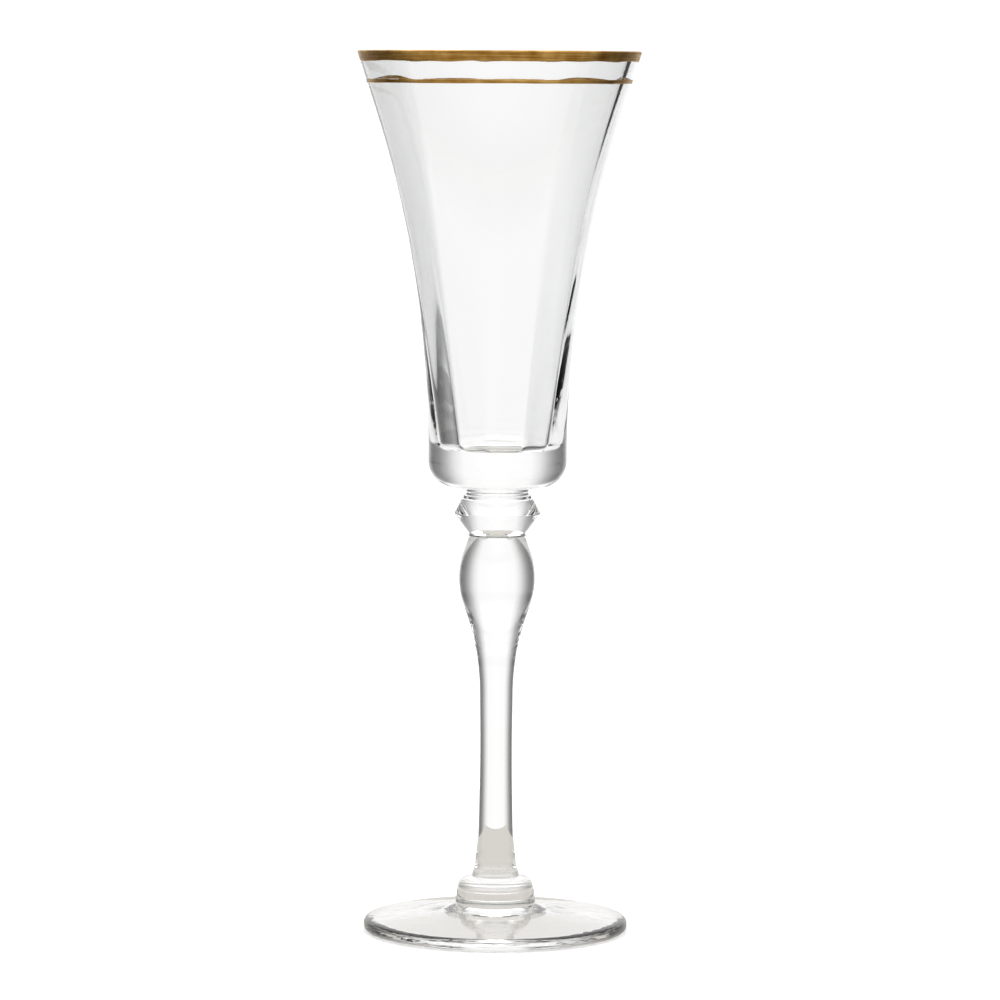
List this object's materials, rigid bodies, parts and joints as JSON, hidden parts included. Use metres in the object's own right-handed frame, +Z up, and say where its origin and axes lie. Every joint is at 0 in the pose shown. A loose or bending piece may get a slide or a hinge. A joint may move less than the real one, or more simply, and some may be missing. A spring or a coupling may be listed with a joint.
{
  "type": "champagne flute",
  "caption": "Tall clear-glass champagne flute: panelled trumpet bowl on a thick base, double-cone knop, baluster stem, tiered collar, round foot, gilded rim.",
  "frame": {"origin": "centre of the foot in the resting plane, the bottom centre of the bounding box", "axes": "+Z up along the stem to the open mouth; the glass is turned about Z, so X and Y are interchangeable"},
  "size_m": [0.0812, 0.0812, 0.254],
  "materials": {
    "glass": "clear colourless glass, fire-polished",
    "gilding": "thin gold film brushed on by hand and fired, satin with brush streaks"
  },
  "bodies": {
    "root": {"foot": "glass", "foot_collar": "glass", "stem": "glass", "stem_wafer": "glass", "knop": "glass", "bowl_wafer": "glass", "bowl": "glass", "rim_gold_band": "gilding", "gold_line": "gilding"}
  },
  "joints": []
}
